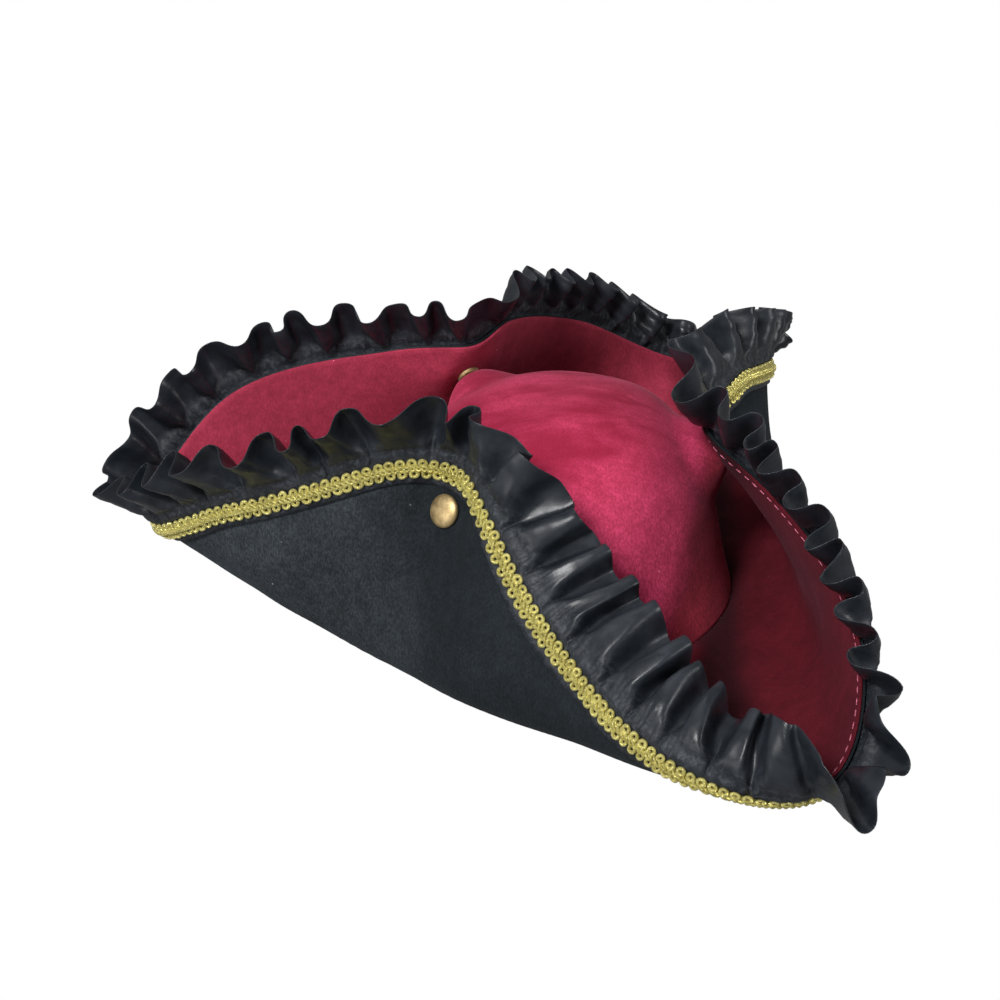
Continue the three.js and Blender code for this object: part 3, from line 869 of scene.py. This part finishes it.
# %% Rows of the ruffle
def ruffle_row(v):
    """A row of the strip at a distance past the brim's edge, less than 0 on the header."""
    if v <= 0:
        inset = ruffle_length - (-v / slant)[:, None]
        place = press_at_snaps(along(ruffle_lines, inset)[:, 0], 0, brim_press)
        outward = place + strip_normal * header_middle
    else:
        outward = strip_edge + strip_normal * header_middle
    past = np.maximum(v, 0)
    reach = ruffle_reach * fold_mix(crest_reach, pinch_reach, ridge) * share(2, ruffle_turn, leans)
    go = past / ruffle_reach
    length = np.where(past > seam, seam + (past - seam) * (reach - seam) / (ruffle_reach - seam), past)
    fall = np.arctan(share(1, ruffle_turn, leans)) * go ** 0.5
    normal = strip_normal * np.cos(fall)[:, None] - strip_out * np.sin(fall)[:, None]
    opened = smooth(v, 0.002, 0.013)
    gathered = 0.14 * smooth(v, -0.003, 0.001)
    swing = fold_depth * (gathered + 0.50 * opened + 0.36 * deeper * smooth(v, 0.010, 0.034)) * shallow
    ending = (every_column(crest_width) - narrow - open_width) * smooth(v, 0.009, 0.034)
    width = header_width + (open_width - header_width) * opened + ending
    above = 0.97 * (1 - smooth(v, 0.0, 0.005))
    lift = (fold_shape(width) * fold_mix(crest_depth, pinch_depth, ridge) + above) * swing
    pucker = 0.00022 * smooth(v, -0.003, 0.002) * (1 - smooth(past, 0.006, 0.014)) * fine_puckers
    loop = every_column(fold_loop) * smooth(past, 0.004, 0.026) * np.sin(2 * math.pi * across_fold) * 0.5
    lean = fold_mix(crest_lean, pinch_lean, ridge) * smooth(past, 0.005, 0.030)
    sideways = (loop + lean) * pitch
    one_way = np.sin(strip_edge @ (410, 190, 300) + past * 330)
    other_way = np.sin(strip_edge @ (-150, 420, 260) - past * 260)
    crumple = (0.0004 + 0.0007 * far_side) * smooth(past, 0.008, 0.022) * one_way * other_way
    return (outward + strip_out * (length * np.cos(fall))[:, None]
            + strip_normal * (length * np.sin(fall))[:, None]
            + normal * (lift + pucker + crumple)[:, None] + strip_along * sideways[:, None])


row_places = [-header_depth, -0.0125, -0.0100, -0.0070, -0.0040, -0.0020, 0.0, 0.0020, 0.0040, 0.0055,
              0.0065, 0.0080, 0.0100, 0.0125, 0.0155, 0.0190, 0.0225, 0.0260, 0.0295, 0.0325, 0.0355,
              ruffle_reach]
ruffle_rows = np.array([ruffle_row(v) for v in row_places])
ruffle_normals = grid_normals(ruffle_rows)
ruffle_normals *= np.linspace(1.0, 0.45, len(row_places))[:, None, None]
half_cloth = ruffle_cloth / 2
ruffle = closed_cloth("ruffle_black_satin", ruffle_rows, ruffle_normals, half_cloth, -half_cloth, 0.0003)
cloth_end = float(np.linalg.norm(np.diff(ruffle_rows, axis=0), axis=2).mean(axis=1).sum())

# %% [markdown]
# ## Satin
# Satin is smooth and tightly woven, so it has broad soft highlights along each
# ridge and goes nearly black in the valleys. Faint uneven weave keeps the
# highlights from looking like plastic. Close to the gather the cloth is creased
# and duller. The distance from the header is read from the cloth's own map.

# %% Satin finish
black_satin = plain_finish("satin_black", (0.012, 0.0145, 0.019), 0.40)
wire = Wiring(black_satin.node_tree)
place = wire.place()
cloth_map = wire.node("ShaderNodeUVMap", uv_map="cloth").outputs["UV"]
across_cloth = wire.node("ShaderNodeSeparateXYZ", {"Vector": cloth_map}).outputs["Y"]
from_header = wire.maths("PINGPONG", across_cloth, cloth_end)
crumpled = wire.maths("SUBTRACT", 1.0, wire.ramp(from_header, 0.020, 0.034))
dulled = wire.ramp(wire.noise(place, 60.0, 4.0, 0.6, 0.4), 0.3, 0.75)
weave = wire.noise(place, 1900.0, 2.0, 0.6)
creases = wire.noise(place, 330.0, 3.0, 0.6, 0.8)
roughness = wire.plus(0.27, wire.times(dulled, 0.13))
roughness = wire.plus(roughness, wire.times(crumpled, 0.22))
shade = wire.mix(dulled, (0.008, 0.010, 0.013, 1), (0.019, 0.022, 0.028, 1))
dusty = wire.times(crumpled, wire.ramp(creases, 0.45, 0.72))
shade = wire.mix(dusty, shade, (0.040, 0.044, 0.052, 1))
crease_depth = wire.plus(wire.times(crumpled, 0.9), 0.08)
crease_height = wire.times(creases, crease_depth)
satin_height = wire.plus(wire.times(weave, 0.10), crease_height)
wire.shade({"Base Color": shade, "Roughness": roughness, "Specular IOR Level": 0.24,
            "Normal": wire.bump(satin_height, 0.5, 0.0008)})
dress(ruffle, black_satin, "black_satin", "ruffle")

# %% [markdown]
# ## Gold braid
# The trim is a gimp: a twisted cord down the middle, with small round loops of
# wrapped thread along both edges. One loop is modelled from a thin ring and
# then set side by side all round the hat, each a little different in turn and
# size. The cord is two strands that wind round each other, and a flat ribbon
# under it closes the gaps between the loops.

# %% Line of the braid
braid_inset = 0.007
braid_base = layer_far + 2 * clearance + ruffle_cloth


def edge_frame(at, inset, depth):
    """Places at a distance in from the edge, with the way along, out and off the cloth."""
    turn = np.interp(at % edge_length, edge_travel, fine_turn)
    column = np.interp(turn, ruffle_turn_sorted, np.arange(len(ruffle_turn_sorted)))
    low = np.floor(column).astype(int) % len(ruffle_order)
    high = (low + 1) % len(ruffle_order)
    t = (column - np.floor(column))[:, None]

    def between(values):
        sorted_values = values[ruffle_order]
        return sorted_values[low] * (1 - t) + sorted_values[high] * t

    way, out, off = (unit(between(ways)) for ways in (strip_along, strip_out, strip_normal))
    lines = brim_lines(turn)[1]
    ends = lengths_of(lines)[:, -1:]
    place = press_at_snaps(along(lines, ends - inset / between(slant[:, None]))[:, 0], 0, brim_press)
    return place + off * depth, way, out, off


ruffle_order = np.argsort(ruffle_turn)
ruffle_turn_sorted = ruffle_turn[ruffle_order]
braid_path = edge_frame(np.linspace(0, edge_length, 1441)[:-1], braid_inset, braid_base)[0]
braid_steps = np.linalg.norm(np.roll(braid_path, -1, 0) - braid_path, axis=1)
print("the braid is", round(float(braid_steps.sum()), 3), "m round")

# %% One loop, from a ring
loop_pitch = 0.0059
bpy.ops.object.select_all(action="DESELECT")
bpy.ops.mesh.primitive_torus_add(
    major_radius=0.00150, minor_radius=0.00098, major_segments=14, minor_segments=6)
gold_loop = bpy.context.active_object
bpy.ops.object.mode_set(mode="EDIT")
bpy.ops.mesh.select_all(action="SELECT")
bpy.ops.transform.resize(value=(1.16, 1.0, 1.0))
bpy.ops.transform.rotate(value=math.radians(14), orient_axis="X", center_override=(0, 0, 0))
bpy.ops.object.mode_set(mode="OBJECT")
loop_points = points_of(gold_loop)
loop_faces = np.array([list(p.vertices) for p in gold_loop.data.polygons])
loop_map = np.empty(len(gold_loop.data.loops) * 2, np.float32)
gold_loop.data.uv_layers[0].data.foreach_get("uv", loop_map)
print("one loop has", len(loop_faces), "faces")
bpy.data.objects.remove(gold_loop)

# %% Set the loops along both edges
loop_drift = 0.0004
loop_side = 0.0027
loop_rise = 0.0010


def stamp(points, *ways):
    """One small shape's points, turned another way for each copy."""
    return sum(points[None, :, k:k + 1] * way[:, None] for k, way in enumerate(ways))


loop_count = int(edge_length / loop_pitch)
stamps = []
for side_sign in (1, -1):
    at = (np.arange(loop_count) + (0.25 if side_sign > 0 else 0.75)) * edge_length / loop_count
    at = at + chance.uniform(-loop_drift, loop_drift, loop_count)
    inset = braid_inset - side_sign * loop_side
    place, way, out, off = edge_frame(at, inset, braid_base + loop_rise)
    size = chance.uniform(0.92, 1.10, loop_count)
    lean = chance.uniform(-0.5, 0.5, loop_count)
    x_way = unit(way * np.cos(lean)[:, None] + out * np.sin(lean)[:, None])
    turned = stamp(loop_points, x_way, np.cross(off, x_way) * side_sign, off * side_sign)
    stamps.append(place[:, None] + turned * size[:, None, None])
loop_cloud = np.concatenate(stamps)
print(len(loop_cloud), "loops")

# %% Wind the middle cord
def tube(line, ways, radius, sides):
    """A closed tube round a line that joins its own start."""
    spin = np.arange(sides) / sides * 2 * math.pi
    first, second = ways
    ring = first[:, None] * np.cos(spin)[None, :, None] + second[:, None] * np.sin(spin)[None, :, None]
    points = (line[:, None] + ring * radius).reshape(-1, 3)
    k, s, _, faces = closed_grid(len(line), sides)
    u = np.stack([k, k, k + 1, k + 1], -1) / 8
    v = np.stack([s, s + 1, s + 1, s], -1) / sides
    return points, faces, np.stack([u, v], -1).reshape(-1)


strand_radius = 0.00105
strand_sway = 0.0012
strand_rise = 0.0007
cord_steps = loop_count * 8
cord_at = np.arange(cord_steps) / cord_steps * edge_length
cord_line, _, cord_out, cord_off = edge_frame(cord_at, braid_inset, braid_base + 0.0016)
strands = []
for half_turn in (0, math.pi):
    wind = (cord_at / edge_length * loop_count * math.pi * 2 + half_turn)[:, None]
    wound = cord_line + cord_out * (strand_sway * np.cos(wind)) + cord_off * (strand_rise * np.sin(wind))
    strands.append(tube(wound, (cord_out, cord_off), strand_radius, 6))
ribbon_line, _, ribbon_out, ribbon_off = edge_frame(cord_at[::4], braid_inset, braid_base + 0.0005)
strands.append(tube(ribbon_line, (ribbon_out * 3.0, ribbon_off * 0.5), 0.0008, 8))
all_points = [loop_cloud.reshape(-1, 3)]
loop_starts = np.arange(len(loop_cloud))[:, None, None] * len(loop_points)
all_faces = [(loop_faces[None] + loop_starts).reshape(-1, 4)]
all_map = [np.tile(loop_map, len(loop_cloud))]
for points, faces, flat_map in strands:
    all_faces.append(faces + sum(len(p) for p in all_points))
    all_points.append(points)
    all_map.append(flat_map)
braid_faces = np.concatenate(all_faces).tolist()
braid_map = np.concatenate(all_map)
braid = smooth_piece("gold_gimp", np.concatenate(all_points), braid_faces, "thread", braid_map)
print("braid has", len(braid_faces) * 2, "triangles")

# %% [markdown]
# ## Wrapped gold thread
# Each loop is a core wrapped in fine metallic foil, so the surface is a row of
# tiny turns. A wave along the thread's own map makes them, and paints a pale
# highlight along each turn.

# %% Gold finish
gold_thread = plain_finish("thread_gold", (0.80, 0.66, 0.20), 0.28)
wire = Wiring(gold_thread.node_tree)
thread_map = wire.node("ShaderNodeUVMap", uv_map="thread").outputs["UV"]
stretched = wire.stretch(thread_map, (9.0, 1.0, 1.0))
wave = {"Vector": stretched, "Scale": 1.0, "Distortion": 0.6}
turns_and_highlight = wire.node("ShaderNodeTexWave", wave).outputs["Fac"]
tarnish = wire.ramp(wire.noise(wire.place(), 420.0, 3.0, 0.6), 0.35, 0.7)
gold_colour = wire.mix(tarnish, (0.46, 0.37, 0.04, 1), (1.0, 0.88, 0.24, 1))
# painted highlight: a pale gold along each turn of the thread
gold_colour = wire.mix(wire.times(turns_and_highlight, 0.6), gold_colour, (1.0, 0.97, 0.50, 1))
wire.shade({"Base Color": gold_colour, "Metallic": 0.55, "Normal": wire.bump(turns_and_highlight, 0.8, 0.0004)})
dress(braid, gold_thread, "gold_braid", "gold_braid")
print("gold finish on", braid.name)

# %% [markdown]
# ## Snap caps
# A snap cap is a thin brass dome with a rolled rim, on a post that goes through
# the brim to a ring on the red side. It is turned, so its outline is drawn once
# and spun round its axis, as on a lathe.

# %% Turn a snap cap
cap_radius = 0.00875
post_radius = 0.0022
stud_radius = 0.0019


def turned_part(name, outline):
    """Spins an outline of radius and height pairs round the upright axis."""
    mesh = bpy.data.meshes.new(name)
    points = [(radius, 0, height) for radius, height in outline]
    mesh.from_pydata(points, [(k, k + 1) for k in range(len(points) - 1)], [])
    part = add_object(name, mesh)
    select_only(part)
    bpy.ops.object.mode_set(mode="EDIT")
    bpy.ops.mesh.select_all(action="SELECT")
    bpy.ops.mesh.spin(steps=64, angle=2 * math.pi, center=(0, 0, 0), axis=(0, 0, 1))
    bpy.ops.mesh.select_all(action="SELECT")
    bpy.ops.mesh.remove_doubles(threshold=0.00002)
    bpy.ops.mesh.normals_make_consistent(inside=False)
    bpy.ops.object.mode_set(mode="OBJECT")
    bpy.ops.object.shade_smooth_by_angle(angle=math.radians(35))
    return part


cap_base = layer_far + 2 * clearance
socket = -(layer_far + clearance)
socket_end = socket - snap_socket
recess = socket_end + snap_socket * 0.7
rim_height = 0.0009
dome_height = 0.0031
dome = [(cap_radius * math.cos(a), cap_base + rim_height + dome_height * math.sin(a))
        for a in np.radians(range(0, 90, 9))]
cap_outline = [
    (0, recess), (stud_radius + clearance, recess), (stud_radius + clearance, socket_end),
    (0.0062, socket_end), (0.0065, socket_end + 0.0003), (0.0065, socket - 0.0003), (0.0062, socket),
    (post_radius, socket), (post_radius, cap_base), (cap_radius - 0.0012, cap_base),
    (cap_radius - 0.0003, cap_base + 0.0002), (cap_radius, cap_base + 0.0006), *dome,
    (0, cap_base + rim_height + dome_height),
]
for name, (centre, normal) in seats.items():
    cap = turned_part(f"brass_cap_{name}", cap_outline)
    facing = Vector((0, 0, 1)).rotation_difference(Vector(normal)).to_matrix().to_4x4()
    cap.data.transform(Matrix.Translation(centre + axis) @ facing)
    print(cap.name, "has", len(cap.data.polygons), "faces")

# %% Brass finish
brass = plain_finish("antique_brass", (0.40, 0.28, 0.14), 0.42)
wire = Wiring(brass.node_tree)
place = wire.place()
worn = wire.ramp(wire.noise(place, 260.0, 4.0, 0.65), 0.35, 0.68)
pits = wire.ramp(wire.noise(place, 1500.0, 2.0, 0.6), 0.30, 0.42)
brass_colour = wire.mix(worn, (0.36, 0.26, 0.12, 1), (0.52, 0.39, 0.20, 1))
wire.shade({
    "Base Color": wire.mix(pits, (0.26, 0.19, 0.10, 1), brass_colour), "Metallic": 0.85,
    "Roughness": wire.plus(0.44, wire.times(worn, 0.10)),
    "Normal": wire.bump(pits, 0.2, 0.0001),
})
for name in seats:
    dress(bpy.data.objects[f"brass_cap_{name}"], brass, "snap_brass", f"snap_cap_{name}")
    stud = frame["nodes"][f"snap_stud_{name}"]
    stud.data.materials.clear()
    stud.data.materials.append(brass)
print("brass on", len(seats) * 2, "parts")

# %% [markdown]
# ## Stitches
# A line of pink thread holds the red facing near its edge. It is sewn along the
# right-hand side, where it shows. Each stitch is a short rounded bar that sinks
# into the pile at both ends.

# %% Sew the facing
stitch_pitch = 0.0065
stitch_inset = 0.0036
stitch_sink = 0.00012
bpy.ops.object.select_all(action="DESELECT")
bpy.ops.mesh.primitive_uv_sphere_add(segments=6, ring_count=5, radius=1)
one_stitch = bpy.context.active_object
bpy.ops.object.mode_set(mode="EDIT")
bpy.ops.mesh.select_all(action="SELECT")
bpy.ops.transform.resize(value=(0.00035, 0.00035, 0.0021))
bpy.ops.object.mode_set(mode="OBJECT")
stitch_points = points_of(one_stitch)
stitch_faces = [list(p.vertices) for p in one_stitch.data.polygons]
bpy.data.objects.remove(one_stitch)
sewn_from, sewn_to = np.interp(np.radians((98, 236)), fine_turn, edge_travel)
stitch_at = np.arange(sewn_from, sewn_to, stitch_pitch)
place, way, out, off = edge_frame(stitch_at, stitch_inset, -layer_far - stitch_sink)
stitch_cloud = place[:, None] + stamp(stitch_points, out, off, way)
starts = range(0, len(stitch_at) * len(stitch_points), len(stitch_points))
all_faces = [[v + start for v in face] for start in starts for face in stitch_faces]
stitches = smooth_piece("facing_stitches", stitch_cloud, all_faces)
thread = plain_finish("pink_thread", (0.75, 0.16, 0.26), 0.6)
wire = Wiring(thread.node_tree)
twist = wire.ramp(wire.noise(wire.place(), 900.0, 2.0, 0.5), 0.3, 0.7)
wire.shade({"Base Color": wire.mix(twist, (0.28, 0.04, 0.08, 1), (0.60, 0.18, 0.26, 1))})
dress(stitches, thread, "red_velvet")
print(len(stitch_at), "stitches")

# %% [markdown]
# The dressed hat has to stay in the CAD model's box, but for a little that
# cloth may stand proud.
